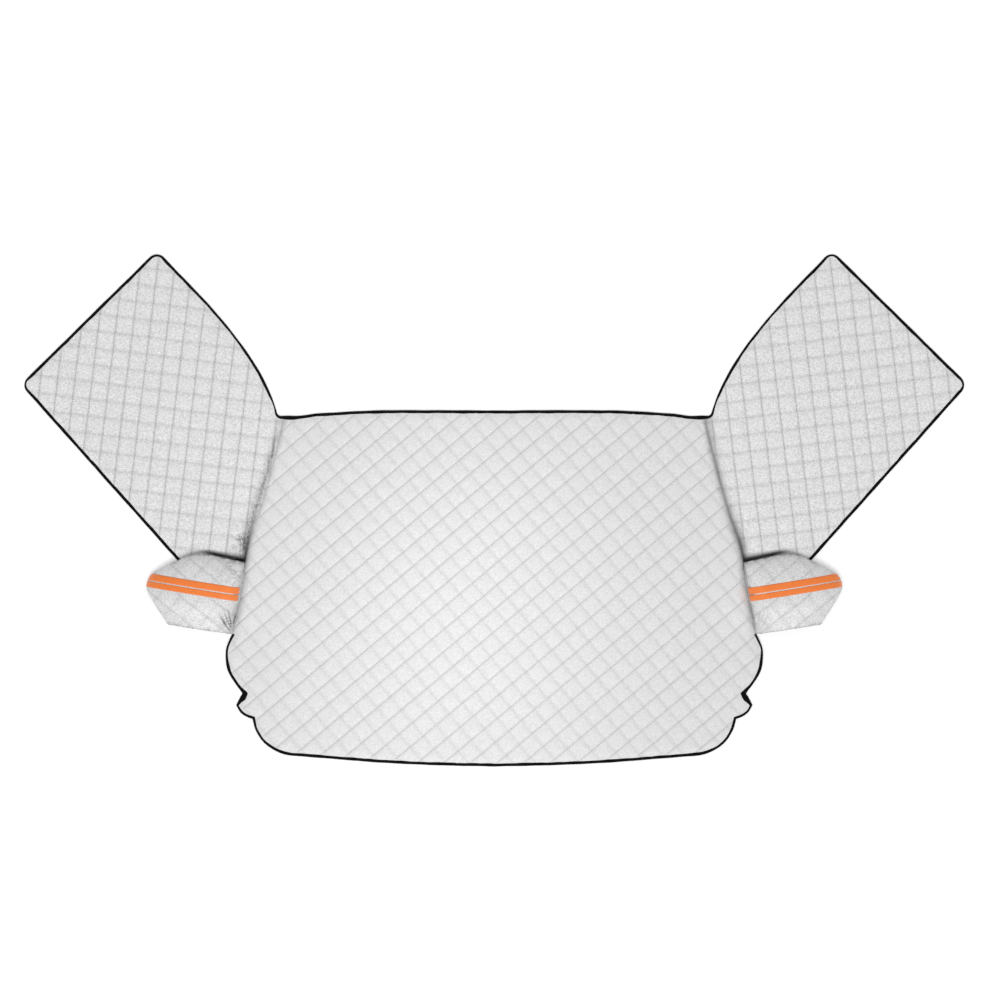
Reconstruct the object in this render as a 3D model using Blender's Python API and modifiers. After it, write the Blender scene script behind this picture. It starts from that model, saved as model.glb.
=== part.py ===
"""Windshield sun shade, lying flat with its bright face up.

A quilted main panel covers the glass. A quilted wing is sewn to each slanted side of it and is
shut in the front door, and a puffed cover on each side slips over the door mirror. Black tape
binds the free edges, and two orange tapes cross each mirror cover.
"""

import math

import bmesh
import bpy
from mathutils import Matrix, Vector
from mathutils.geometry import interpolate_bezier, intersect_line_line_2d

# Thicknesses and widths of the fabric, in metres
GAP = 0.0003  # air between pieces that touch
RIM_THICKNESS = 0.0018  # quilt pressed flat along its edges and stitch lines
RIM_WIDTH = 0.0082
SHOULDER = 0.0010  # width of the step from the rim's back down to the panel's
PUFF_HEIGHT = 0.0027  # how far the filling stands above the stitch lines
BINDING_WALL = 0.0007
BINDING_WIDTH = 0.0070
BINDING_SETBACK = 0.0030  # the wing's binding stops short of the side seam, under the cover
TAPE_THICKNESS = 0.0006
TAPE_LIFT = 0.0010  # the tapes end this far above the cover's sewn rim
COVER_WALL = 0.0035
COVER_BACK_THICKNESS = 0.0030

# Quilting: two families of parallel stitch lines, square to each other
QUILT_PITCH = 0.0439
MAIN_STITCH_ANGLE = math.radians(40.0)
MAIN_STITCH_SHIFT = (0.0175, 0.0162)  # first line of each family, from the origin
WING_STITCH_ANGLE = math.radians(97.0)
WING_STITCH_SHIFT = (0.0130, 0.0285)
COVER_STITCH_ANGLE = math.radians(39.0)
COVER_STITCH_SHIFT = (0.0130, 0.0050)

# Main panel, right half: a crowned top edge, a side seam and a lower edge
TOP_HALF_WIDTH = 0.5402
TOP_CORNER_Y = 0.2432
TOP_CROWN = 0.0141
CROWN_HALF_WIDTH = 0.3000  # half of the level stretch of the top edge
CROWN_FALL = ((0.64, 0.55), (0.85, 1.0))  # share of the way on to the corner, share of the crown lost
SEAM_FOOT = (0.6721, -0.3153)
SEAM_BOW = (  # share of its length, outward bow
    (0.17, -0.0010),
    (0.40, 0.0036),
    (0.60, 0.0137),
    (0.70, 0.0088),
    (0.82, 0.0036),
)
SMOOTH, CORNER = "smooth", "corner"
LOWER_EDGE = (  # hip, notch, tip, hollow, round corner and bowed hem
    (0.6787, -0.3300, SMOOTH),
    (0.6887, -0.3585, SMOOTH),
    (0.6852, -0.4060, SMOOTH),
    (0.6615, -0.4480, SMOOTH),
    (0.6415, -0.4690, CORNER),
    (0.6610, -0.4990, CORNER),
    (0.6525, -0.5155, SMOOTH),
    (0.6380, -0.5265, SMOOTH),
    (0.6205, -0.5335, CORNER),
    (0.6120, -0.5640, SMOOTH),
    (0.5865, -0.5990, SMOOTH),
    (0.5450, -0.6225, SMOOTH),
    (0.4900, -0.6300, SMOOTH),
    (0.2269, -0.6492, SMOOTH),
    (0.0000, -0.6557, SMOOTH),
)

# Wing, right side: its seam is the main panel's, and its inner corner is level with the seam's top
WING_INNER_HALF_WIDTH = 0.5565
WING_TOP_CORNER = (0.8666, 0.6691)
WING_OUTER_CORNER = (1.2173, 0.3248)
WING_FOOT_SHARE = 0.932  # how far down the side seam the wing reaches
WING_FOOT_WIDTH = 0.0145  # the wing ends bluntly under the mirror cover
WING_CORNER_RADIUS = 0.033
WING_CURVE_START = math.radians(76.4)  # slope of the curved edge at the inner corner
WING_CURVE_END = math.radians(46.8)  # and at the top corner
WING_CURVE_PULL = (0.168, 0.115)  # lengths of the curve's two handles

# Mirror cover, right side, measured along its mouth and square to it from the seam's foot
COVER_TILT = math.radians(9.0)
COVER_LENGTH = 0.2370
COVER_DEPTH = 0.1945
COVER_MOUTH = 0.1694
COVER_RISE = 0.0600
COVER_FULLNESS = 2.6  # power of its section: 2 is an ellipse, more is boxier
MOUTH_RISE_SHARE = 0.72  # the elastic mouth is lower than the crest
MOUTH_DRAW = 0.0600  # how far in the elastic still pulls the cover down
SEWN_SHARE = 0.99  # past this share of the way to its edge the cover is sewn down
COVER_EDGE = (  # shares of the length and the depth, from the top of the seam to the nose
    (-0.020, 0.974, CORNER),
    (0.275, 0.997, SMOOTH),
    (0.475, 1.000, SMOOTH),
    (0.700, 0.878, SMOOTH),
    (0.960, 0.615, SMOOTH),
    (1.000, 0.444, SMOOTH),
    (0.950, 0.325, SMOOTH),
)
LOWER_TAPE = (0.0860, 0.1005)  # band across the cover, from the mouth
UPPER_TAPE = (0.1035, 0.1205)

CURVE_STEP = 0.013  # spacing of points on curved edges
FLATNESS = 0.0004  # how far a thinned edge may stray from the true curve
ARC_STEPS = 5
MERGE_DISTANCE = 0.00001

# Heights that follow from the thicknesses
RIM_BOTTOM = BINDING_WALL + GAP
RIM_TOP = RIM_BOTTOM + RIM_THICKNESS
QUILT_TOP = RIM_TOP + PUFF_HEIGHT
BINDING_TOP = RIM_TOP + GAP + BINDING_WALL
COVER_BOTTOM = QUILT_TOP + GAP
COVER_RIM = COVER_BOTTOM + COVER_BACK_THICKNESS + GAP


def thinned(path):
    """The path without the points that its nearly straight stretches don't need."""
    line = (path[-1] - path[0]).normalized()
    strays = [abs(line.cross(point - path[0])) for point in path[1:-1]]
    if max(strays, default=0) < FLATNESS:
        return [path[0], path[-1]]
    farthest = strays.index(max(strays)) + 1
    return thinned(path[:farthest + 1])[:-1] + thinned(path[farthest:])


def smooth_path(knots):
    """Points on a smooth curve through (x, y, kind) knots; a corner knot stays sharp."""
    places = [Vector(knot[:2]) for knot in knots]
    last = len(places) - 1
    path = [places[0]]
    for i in range(last):
        start, end = places[i], places[i + 1]
        reach = (end - start).length / 3
        leave = (end - start).normalized()
        arrive = leave
        if i > 0 and knots[i][2] == SMOOTH:
            leave = (end - places[i - 1]).normalized()
        if i + 1 < last and knots[i + 1][2] == SMOOTH:
            arrive = (places[i + 2] - start).normalized()
        count = max(2, round((end - start).length / CURVE_STEP) + 1)
        curve = interpolate_bezier(start, start + leave * reach, end - arrive * reach, end, count)
        path += thinned([Vector(point[:2]) for point in curve])[1:]
    return path


def rounded_corner(corner, before, after, radius):
    """Arc that rounds a corner between the directions towards its two neighbours."""
    half_angle = before.angle(after) / 2
    setback = radius / math.tan(half_angle)
    centre = corner + (before + after).normalized() * radius / math.sin(half_angle)
    start = corner + before * setback - centre
    sweep = (corner + after * setback - centre).angle_signed(start)
    return [centre + Matrix.Rotation(sweep * i / ARC_STEPS, 2) @ start for i in range(ARC_STEPS + 1)]


def offset_path(path, distance):
    """Open path moved sideways; a positive distance goes to the left of its direction."""
    moved = []
    for i, point in enumerate(path):
        before = (point - path[max(i - 1, 0)]).normalized()
        after = (path[min(i + 1, len(path) - 1)] - point).normalized()
        along = (before + after).normalized()
        stretch = 1 / along.dot(after if after.length else before)
        moved.append(point + Vector((-along.y, along.x)) * distance * stretch)
    return moved


def flipped(path):
    """The same path on the other side of the shade, in the opposite direction."""
    return [Vector((-point.x, point.y)) for point in reversed(path)]


def top_edge():
    crown_y = TOP_CORNER_Y + TOP_CROWN
    fall_width = TOP_HALF_WIDTH - CROWN_HALF_WIDTH
    falls = [(CROWN_HALF_WIDTH + share * fall_width, crown_y - drop * TOP_CROWN, SMOOTH)
             for share, drop in CROWN_FALL]
    corner = (TOP_HALF_WIDTH, TOP_CORNER_Y, CORNER)
    level = [(0.0, crown_y, SMOOTH), (CROWN_HALF_WIDTH, crown_y, SMOOTH)]
    return smooth_path([*level, *falls, corner])


def side_seam():
    top = Vector((TOP_HALF_WIDTH, TOP_CORNER_Y))
    run = Vector(SEAM_FOOT) - top
    outward = Vector((-run.y, run.x)).normalized()
    bows = [(*(top + run * share + outward * bow), SMOOTH) for share, bow in SEAM_BOW]
    return smooth_path([(*top, CORNER), *bows, (*SEAM_FOOT, CORNER)])


def lower_edge():
    return smooth_path([(*SEAM_FOOT, CORNER), *LOWER_EDGE])


def wing_seam():
    """The stretch of the side seam that the wing is sewn to."""
    seam = side_seam()
    foot_y = seam[0].lerp(seam[-1], WING_FOOT_SHARE).y
    kept = [point for point in seam if point.y > foot_y]
    above, below = kept[-1], seam[len(kept)]
    return [*kept, above.lerp(below, (above.y - foot_y) / (above.y - below.y))]


def wing_edge():
    """Free edge of the wing, from the seam's top over its three corners to its foot."""
    inner = Vector((WING_INNER_HALF_WIDTH, TOP_CORNER_Y))
    top, outer = Vector(WING_TOP_CORNER), Vector(WING_OUTER_CORNER)
    foot = wing_seam()[-1]
    blunt = foot + Vector((WING_FOOT_WIDTH, 0))
    to_inner = -Vector((math.cos(WING_CURVE_END), math.sin(WING_CURVE_END)))
    rise = Vector((math.cos(WING_CURVE_START), math.sin(WING_CURVE_START)))
    across = (outer - top).normalized()
    down = (blunt - outer).normalized()
    top_arc = rounded_corner(top, to_inner, across, WING_CORNER_RADIUS)
    outer_arc = rounded_corner(outer, -across, down, WING_CORNER_RADIUS)
    pull_start, pull_end = WING_CURVE_PULL
    count = round((top - inner).length / CURVE_STEP)
    curve = interpolate_bezier(
        inner, inner + rise * pull_start, top_arc[0] + to_inner * pull_end, top_arc[0], count)
    rising = thinned([Vector(point[:2]) for point in curve])
    return [wing_seam()[0]] + rising + top_arc[1:] + outer_arc + [blunt, foot]


def cover_place(along, away):
    """Place on the mirror cover, from distances along its mouth and square to it."""
    return Vector(SEAM_FOOT) + Matrix.Rotation(COVER_TILT, 2) @ Vector((along, away))


def distance_from_mouth(point):
    return (Matrix.Rotation(-COVER_TILT, 2) @ (point - Vector(SEAM_FOOT))).y


def cover_outline():
    knots = [(*cover_place(a * COVER_LENGTH, d * COVER_DEPTH), kind) for a, d, kind in COVER_EDGE]
    mouth_end = cover_place(COVER_MOUTH, 0.0)
    return [cover_place(0.0, 0.0)] + smooth_path([*knots, (*mouth_end, CORNER)])


def stitch_axes(angle):
    """Directions square to the two families of stitch lines."""
    return Vector((math.sin(angle), -math.cos(angle))), Vector((math.cos(angle), math.sin(angle)))


def puff(point, angle, shift):
    """Share of the full puff: 1 in the middle of a quilted square, 0 on the stitches."""
    rises = [math.sin(math.pi * (axis.dot(point) - first) / QUILT_PITCH)
             for axis, first in zip(stitch_axes(angle), shift)]
    return abs(rises[0] * rises[1])


def flat_face(bm, path, height):
    return bm.faces.new([bm.verts.new((*point, height)) for point in path])


def cut_along(bm, faces, place, normal):
    """Split the faces along an upright plane, and return them all."""
    edges = {edge for face in faces for edge in face.edges}
    verts = {vert for face in faces for vert in face.verts}
    cut = bmesh.ops.bisect_plane(
        bm, geom=[*verts, *edges, *faces], dist=MERGE_DISTANCE, plane_co=(*place, 0),
        plane_no=(*normal, 0))
    return [item for item in cut["geom"] if isinstance(item, bmesh.types.BMFace)]


def cut_squares(bm, faces, angle, shift, pitch):
    """Split the faces along both families of stitch lines."""
    for axis, first in zip(stitch_axes(angle), shift):
        reaches = [axis.dot(vert.co.xy) for face in faces for vert in face.verts]
        low = math.ceil((min(reaches) - first) / pitch)
        high = math.floor((max(reaches) - first) / pitch)
        for number in range(low, high + 1):
            faces = cut_along(bm, faces, axis * (first + number * pitch), axis)
    return faces


def face_outward(bm):
    """Turn the faces of a closed form outwards."""
    bmesh.ops.recalc_face_normals(bm, faces=bm.faces)
    if bm.calc_volume(signed=True) < 0:
        bmesh.ops.reverse_faces(bm, faces=bm.faces)


def add_part(name, bm, material, mirrored=False):
    """Finish a mesh as a named object; a mirrored one goes to the shade's left side."""
    if mirrored:
        bmesh.ops.scale(bm, vec=(-1, 1, 1), verts=bm.verts)
        bmesh.ops.reverse_faces(bm, faces=bm.faces)
    mesh = bpy.data.meshes.new(name)
    bm.to_mesh(mesh)
    bm.free()
    mesh.materials.append(material)
    part = bpy.data.objects.new(name, mesh)
    shade.objects.link(part)
    return part


def make_material(name, colour, roughness, metallic):
    material = bpy.data.materials.new(name)
    material.use_nodes = True
    shader = material.node_tree.nodes["Principled BSDF"]
    shader.inputs["Base Color"].default_value = (*colour, 1)
    shader.inputs["Roughness"].default_value = roughness
    shader.inputs["Metallic"].default_value = metallic
    return material


def quilted_panel(outline, angle, shift):
    """Flat-backed panel with a thin rim and a puff in each quilted square."""
    bm = bmesh.new()
    back = flat_face(bm, outline, RIM_BOTTOM)
    rim = bmesh.ops.extrude_face_region(bm, geom=[back], use_keep_orig=True)["geom"]
    front = next(item for item in rim if isinstance(item, bmesh.types.BMFace))
    bmesh.ops.translate(bm, verts=front.verts, vec=(0, 0, RIM_THICKNESS))
    for face, width in ((back, RIM_WIDTH), (back, SHOULDER), (front, RIM_WIDTH)):
        bmesh.ops.inset_region(bm, faces=[face], thickness=width, use_even_offset=True)
    for vert in back.verts:
        vert.co.z = 0
    front.material_index = 1
    squares = cut_squares(bm, [front], angle, shift, QUILT_PITCH)
    bmesh.ops.connect_verts_concave(bm, faces=squares)
    squares = [face for face in bm.faces if face.material_index]
    cells = bmesh.ops.poke(bm, faces=squares)
    for centre in cells["verts"]:
        centre.co.z += PUFF_HEIGHT * puff(centre.co.xy, angle, shift)
    for face in cells["faces"]:
        face.material_index = 0
    face_outward(bm)
    return bm


def binding(path):
    """Tape folded over the panels' edges: a channel whose open side faces the fabric."""
    outer, inner = -(GAP + BINDING_WALL), -GAP
    low, high = BINDING_WALL, BINDING_TOP - BINDING_WALL
    section = (
        (BINDING_WIDTH, 0), (outer, 0), (outer, BINDING_TOP), (BINDING_WIDTH, BINDING_TOP),
        (BINDING_WIDTH, high), (inner, high), (inner, low), (BINDING_WIDTH, low))
    rows = [offset_path(path, distance) for distance, height in section]
    bm = bmesh.new()
    end = bm.faces.new([bm.verts.new((*row[0], height)) for row, (_, height) in zip(rows, section)])
    for i in range(1, len(path)):
        start = end
        grown = bmesh.ops.extrude_face_region(bm, geom=[start])["geom"]
        end = next(item for item in grown if isinstance(item, bmesh.types.BMFace))
        if i > 1:
            bmesh.ops.delete(bm, geom=[start], context="FACES_ONLY")
        for vert, row, (_, height) in zip(end.verts, rows, section):
            vert.co = (*row[i], height)
    face_outward(bm)
    return bm


def reach_share(point, middle, outline):
    """How far out of the cover's mouth middle a point lies, and the full reach that way."""
    ray = point - middle
    if ray.length < MERGE_DISTANCE:
        return 0.0, COVER_DEPTH
    far = middle + ray.normalized() * (COVER_LENGTH + COVER_DEPTH)
    hits = [intersect_line_line_2d(middle, far, a, b) for a, b in zip(outline, outline[1:])]
    reach = max(((hit - middle).length for hit in hits if hit), default=ray.length)
    return min(ray.length / reach, 1.0), reach


def cover_height(point, share, rise):
    """Height of the puffed cover above its sewn rim."""
    draw = min(max(distance_from_mouth(point) / MOUTH_DRAW, 0.0), 1.0)
    ease = draw * draw * (3 - 2 * draw)
    arch = math.sqrt(1 - share ** COVER_FULLNESS)
    return rise * arch * (MOUTH_RISE_SHARE + (1 - MOUTH_RISE_SHARE) * ease)


def cover_sheet():
    """The cover's front cut along its stitches and tape edges, still flat."""
    bm = bmesh.new()
    face = flat_face(bm, cover_outline(), COVER_RIM)
    rim = bmesh.ops.inset_region(bm, faces=[face], thickness=RIM_WIDTH, use_even_offset=True)
    faces = [face, *rim["faces"]]
    faces = cut_squares(bm, faces, COVER_STITCH_ANGLE, COVER_STITCH_SHIFT, QUILT_PITCH / 2)
    across = Matrix.Rotation(COVER_TILT, 2) @ Vector((0, 1))
    for away in (*LOWER_TAPE, *UPPER_TAPE):
        faces = cut_along(bm, faces, cover_place(0, away), across)
    bmesh.ops.remove_doubles(bm, verts=bm.verts, dist=GAP)
    bmesh.ops.triangulate(bm, faces=bm.faces)
    return bm


def shape_cover(verts, outline, wall):
    """Raise flat points onto the puffed form, or onto its inner side, one wall in."""
    middle = cover_place(COVER_MOUTH / 2, 0.0)
    for vert in verts:
        point = vert.co.xy
        share, reach = reach_share(point, middle, outline)
        height = cover_height(point, share, COVER_RISE - wall)
        taped = LOWER_TAPE[0] - GAP < distance_from_mouth(point) < UPPER_TAPE[1] + GAP
        if not wall and not taped and share < SEWN_SHARE:
            height += PUFF_HEIGHT * puff(point, COVER_STITCH_ANGLE, COVER_STITCH_SHIFT)
        point = middle + (point - middle) * (1 - wall / reach)
        vert.co = (*point, COVER_RIM + height)


def cover_front():
    bm = cover_sheet()
    inner = bm.verts[:]
    grown = bmesh.ops.extrude_face_region(bm, geom=bm.faces[:], use_keep_orig=True)["geom"]
    outer = [item for item in grown if isinstance(item, bmesh.types.BMVert)]
    outline = cover_outline()
    shape_cover(inner, outline, COVER_WALL)
    shape_cover(outer, outline, 0.0)
    face_outward(bm)
    return bm


def cover_back():
    bm = bmesh.new()
    back = flat_face(bm, cover_outline(), COVER_BOTTOM)
    grown = bmesh.ops.extrude_face_region(bm, geom=[back], use_keep_orig=True)["geom"]
    verts = [item for item in grown if isinstance(item, bmesh.types.BMVert)]
    bmesh.ops.translate(bm, verts=verts, vec=(0, 0, COVER_BACK_THICKNESS))
    face_outward(bm)
    return bm


def cover_tape(band):
    """Strip of the cover's own surface, lifted clear of it."""
    bm = cover_sheet()
    outside = [face for face in bm.faces
               if not band[0] < distance_from_mouth(face.calc_center_median().xy) < band[1]]
    shape_cover(bm.verts, cover_outline(), 0.0)
    bmesh.ops.recalc_face_normals(bm, faces=bm.faces)
    if sum(face.normal.z for face in bm.faces) < 0:
        bmesh.ops.reverse_faces(bm, faces=bm.faces)
    bm.normal_update()
    for vert in bm.verts:
        vert.co += vert.normal * GAP
        vert.co.z = max(vert.co.z, COVER_RIM + TAPE_LIFT)
    bmesh.ops.delete(bm, geom=outside, context="FACES")
    return bm


for old in list(bpy.data.objects):
    bpy.data.objects.remove(old)
shade = bpy.data.collections.new("windshield_sun_shade")
bpy.context.scene.collection.children.link(shade)

silver = make_material("silver_quilt", (0.74, 0.74, 0.75), 0.55, 0.2)
black = make_material("black_binding", (0.015, 0.015, 0.016), 0.8, 0.0)
orange = make_material("orange_tape", (0.90, 0.27, 0.08), 0.45, 0.0)

main_half = top_edge() + side_seam()[1:] + lower_edge()[1:]
main_outline = main_half + flipped(main_half)[1:-1]
add_part("main_panel", quilted_panel(main_outline, MAIN_STITCH_ANGLE, MAIN_STITCH_SHIFT), silver)

seam_side = [point + Vector((GAP, 0)) for point in wing_seam()]
wing_outline = wing_edge()[1:-1] + list(reversed(seam_side))
for side in ("left", "right"):
    mirrored = side == "left"
    wing = quilted_panel(wing_outline, WING_STITCH_ANGLE, WING_STITCH_SHIFT)
    add_part(f"{side}_wing", wing, silver, mirrored)
    add_part(f"{side}_cover_back", cover_back(), silver, mirrored)
    add_part(f"{side}_cover_front", cover_front(), silver, mirrored)
    for name, band in (("lower", LOWER_TAPE), ("upper", UPPER_TAPE)):
        tape = add_part(f"{side}_{name}_tape", cover_tape(band), orange, mirrored)
        solidify = tape.modifiers.new("Thickness", "SOLIDIFY")
        solidify.thickness = TAPE_THICKNESS
        solidify.offset = 1.0

wing_free = wing_edge()
wing_free[-1] += (wing_free[-2] - wing_free[-1]).normalized() * BINDING_SETBACK
upper_half = list(reversed(wing_free)) + list(reversed(top_edge()))[1:]
lower_half = lower_edge()
for name, path in (
    ("upper_binding", upper_half + flipped(upper_half)[1:]),
    ("lower_binding", flipped(list(reversed(lower_half)))[:-1] + list(reversed(lower_half))),
):
    add_part(name, binding(path), black)
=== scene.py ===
"""Windshield sun shade, lying flat on the floor with its bright quilted face up.

A quilted main panel covers the glass, a quilted wing on each side is shut in the front door, and
a puffed cover on each side slips over the door mirror. Black tape binds the free edges.
"""

import math

import bmesh
import bpy
import numpy as np
from mathutils import Matrix, Vector
from mathutils.bvhtree import BVHTree
from mathutils.geometry import interpolate_bezier


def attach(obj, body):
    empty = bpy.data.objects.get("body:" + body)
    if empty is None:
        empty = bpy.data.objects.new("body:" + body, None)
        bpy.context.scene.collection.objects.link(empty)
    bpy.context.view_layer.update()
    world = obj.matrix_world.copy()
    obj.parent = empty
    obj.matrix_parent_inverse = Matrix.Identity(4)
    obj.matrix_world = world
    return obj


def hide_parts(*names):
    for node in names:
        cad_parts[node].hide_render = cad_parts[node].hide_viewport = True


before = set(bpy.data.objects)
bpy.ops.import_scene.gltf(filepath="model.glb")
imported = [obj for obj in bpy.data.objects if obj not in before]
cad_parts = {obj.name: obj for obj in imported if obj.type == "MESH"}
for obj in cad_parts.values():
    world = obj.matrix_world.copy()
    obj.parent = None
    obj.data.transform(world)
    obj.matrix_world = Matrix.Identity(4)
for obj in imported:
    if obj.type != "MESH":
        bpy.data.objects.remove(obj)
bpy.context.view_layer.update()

# Main panel: silver film on padding and lining, quilted in squares. One family of lines is sewn
# with a tight dark stitch, and the other is a softer crease. The free edges lie in black tape and
# the slanted sides are sewn to the wings.
RIM_BOTTOM = 0.0010
RIM_TOP = 0.0028
CLOTH_THICKNESS = RIM_TOP - RIM_BOTTOM
PUFF_HEIGHT = 0.0027
PUFF_LEVEL = 0.74  # share of the puff at the sides of a square, whose middle has all of it
STITCH_DIPS = ((0.26, 0.0042), (0.50, 0.0013))  # depth and width of the dips along a sewn line
CREASE_DIP = (0.27, 0.0044)
LINING_PUFF = 0.0007
EDGE_PRESSED = (0.0070, 0.0170)  # distances from a bound edge where the padding starts and is full
SEAM_SINK = 0.0012
MAIN_ROLL = (-0.003, 0.005)  # the same for the distance from the seam
QUILT_PITCH = 0.0439
MAIN_STITCH_ANGLE = math.radians(40.0)
MAIN_STITCH_SHIFT = (0.0175, 0.0162)
STITCHED_CUTS = (
    -0.0160, -0.0100, -0.0052, -0.0024, -0.0009, 0.0, 0.0009, 0.0024, 0.0052, 0.0100, 0.0160)
CREASED_CUTS = (-0.0150, -0.0090, -0.0052, -0.0024, 0.0, 0.0024, 0.0052, 0.0090, 0.0150)
LINING_CUTS = (-0.0110, -0.0040, 0.0, 0.0040, 0.0110)
SMOOTH, CORNER = "smooth", "corner"
CURVE_STEP = 0.006
SHARP_ANGLE = math.radians(50)
TOP_HALF_WIDTH = 0.5402
TOP_CORNER_Y = 0.2432
TOP_CROWN = 0.0141
CROWN_HALF_WIDTH = 0.3000
CROWN_FALL = ((0.64, 0.55), (0.85, 1.0))
SEAM_FOOT = (0.6721, -0.3153)
SEAM_BOW = (
    (0.17, -0.0010),
    (0.40, 0.0036),
    (0.60, 0.0137),
    (0.70, 0.0088),
    (0.82, 0.0036),
)
LOWER_EDGE = (
    (0.6787, -0.3300, SMOOTH),
    (0.6887, -0.3585, SMOOTH),
    (0.6852, -0.4060, SMOOTH),
    (0.6615, -0.4480, SMOOTH),
    (0.6415, -0.4690, CORNER),
    (0.6610, -0.4990, CORNER),
    (0.6525, -0.5155, SMOOTH),
    (0.6380, -0.5265, SMOOTH),
    (0.6205, -0.5335, CORNER),
    (0.6120, -0.5640, SMOOTH),
    (0.5865, -0.5990, SMOOTH),
    (0.5450, -0.6225, SMOOTH),
    (0.4900, -0.6300, SMOOTH),
    (0.2269, -0.6492, SMOOTH),
    (0.0000, -0.6557, SMOOTH),
)


def smooth_path(knots):
    """Points on a smooth curve through (x, y, kind) knots; a corner knot stays sharp."""
    places = [Vector(knot[:2]) for knot in knots]
    last = len(places) - 1
    path = [places[0]]
    for i in range(last):
        start, end = places[i], places[i + 1]
        reach = (end - start).length / 3
        leave = (end - start).normalized()
        arrive = leave
        if i > 0 and knots[i][2] == SMOOTH:
            leave = (end - places[i - 1]).normalized()
        if i + 1 < last and knots[i + 1][2] == SMOOTH:
            arrive = (places[i + 2] - start).normalized()
        count = max(2, round((end - start).length / CURVE_STEP) + 1)
        curve = interpolate_bezier(start, start + leave * reach, end - arrive * reach, end, count)
        path += [Vector(point[:2]) for point in curve][1:]
    return path


def flipped(path):
    """The same path on the other side of the shade, in the opposite direction."""
    return [Vector((-point.x, point.y)) for point in reversed(path)]


def top_edge():
    crown_y = TOP_CORNER_Y + TOP_CROWN
    fall_width = TOP_HALF_WIDTH - CROWN_HALF_WIDTH
    falls = [(CROWN_HALF_WIDTH + share * fall_width, crown_y - drop * TOP_CROWN, SMOOTH)
             for share, drop in CROWN_FALL]
    corner = (TOP_HALF_WIDTH, TOP_CORNER_Y, CORNER)
    level = [(0.0, crown_y, SMOOTH), (CROWN_HALF_WIDTH, crown_y, SMOOTH)]
    return smooth_path([*level, *falls, corner])


def side_seam():
    top = Vector((TOP_HALF_WIDTH, TOP_CORNER_Y))
    run = Vector(SEAM_FOOT) - top
    outward = Vector((-run.y, run.x)).normalized()
    bows = [(*(top + run * share + outward * bow), SMOOTH) for share, bow in SEAM_BOW]
    return smooth_path([(*top, CORNER), *bows, (*SEAM_FOOT, CORNER)])


def lower_edge():
    return smooth_path([(*SEAM_FOOT, CORNER), *LOWER_EDGE])


def on_right(points):
    """The same places, with those of the left half brought over to the right."""
    return np.column_stack((np.abs(points[:, 0]), points[:, 1]))


def ease(values, start, end):
    """Smooth step from 0 at start to 1 at end."""
    share = np.clip((values - start) / (end - start), 0, 1)
    return share * share * (3 - 2 * share)


def bell(values, width):
    """1 at a value of 0, and down to a third at the width."""
    return np.exp(-(values / width) ** 2)


def nearest_on(points, path):
    """Distance of each point to a path, and the share of the path's length where it is nearest."""
    path = np.array([tuple(point) for point in path])
    steps = path[1:] - path[:-1]
    lengths = np.linalg.norm(steps, axis=1)
    starts = np.concatenate([[0], np.cumsum(lengths)[:-1]])
    best, share = np.full(len(points), np.inf), np.zeros(len(points))
    for start, step, length, run in zip(path, steps, lengths, starts):
        along = np.clip((points - start) @ step / length ** 2, 0, 1)
        far = np.linalg.norm(points - start - along[:, None] * step, axis=1)
        share = np.where(far < best, (run + along * length) / lengths.sum(), share)
        best = np.minimum(far, best)
    return best, share


SLACK = (0.0006, 0.0004)  # heights of the long and of the shorter waves in the cloth
SEAM_LIFT = 0.0075  # the panel's edge stands up like this where the mirror cover pulls at it
LIFT_CREST = 0.016  # distance from the seam
LIFT_END = 0.110
LIFT_START = (0.25, 0.80)  # shares of the way down the seam
LIFT_FADE = (0.86, 1.0)


def settled(points, on_main=False):
    """Height that the shade's slack gives each place above the floor."""
    x, y = points[:, 0], points[:, 1]
    slack = SLACK[0] * (1 + np.sin(x * 11.3 + 0.8) * np.sin(y * 13.1 + 0.3))
    slack += SLACK[1] * (1 + np.sin(x * 19.7 - y * 9.1 + 1.9))
    if on_main:
        far, share = nearest_on(on_right(points), side_seam())
        pull = ease(share, *LIFT_START) * (1 - 0.8 * ease(share, *LIFT_FADE))
        crest = ease(far, 0.0, LIFT_CREST) * (1 - ease(far, LIFT_CREST, LIFT_END))
        slack += SEAM_LIFT * pull * crest
    return slack


def stitch_axes(angle):
    """Directions square to the stitched and to the creased lines."""
    return np.array(((math.sin(angle), -math.cos(angle)), (math.cos(angle), math.sin(angle))))


def from_lines(points, angle, shift):
    """Distance of each point to the nearest stitched and the nearest creased line."""
    turns = [(points @ axis - first) / QUILT_PITCH
             for axis, first in zip(stitch_axes(angle), shift)]
    return [np.abs(turn - np.round(turn)) * QUILT_PITCH for turn in turns]


def puff(points, angle, shift):
    """Height of the padding, as a share of its full height: low on the lines, flat between."""
    stitched, creased = from_lines(points, angle, shift)
    crown = np.sin(math.pi * stitched / QUILT_PITCH) * np.sin(math.pi * creased / QUILT_PITCH)
    rolled = 1 - sum(depth * bell(stitched, width) for depth, width in STITCH_DIPS)
    pressed = 1 - CREASE_DIP[0] * bell(creased, CREASE_DIP[1])
    return (PUFF_LEVEL + (1 - PUFF_LEVEL) * crown) * rolled * pressed


def cut_rows(bm, faces, axis, places):
    """Cut flat faces along parallel lines, from the lowest up, and return all the pieces."""
    done = []
    for place in places:
        verts = {vert for face in faces for vert in face.verts}
        edges = {edge for face in faces for edge in face.edges}
        cut = bmesh.ops.bisect_plane(
            bm, geom=[*verts, *edges, *faces], dist=1e-6, plane_co=(*(axis * place), 0),
            plane_no=(*axis, 0))
        faces = []
        for item in cut["geom"]:
            if isinstance(item, bmesh.types.BMFace):
                low = item.calc_center_median().xy @ Vector(axis) < place
                (done if low else faces).append(item)
    return done + faces


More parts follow.
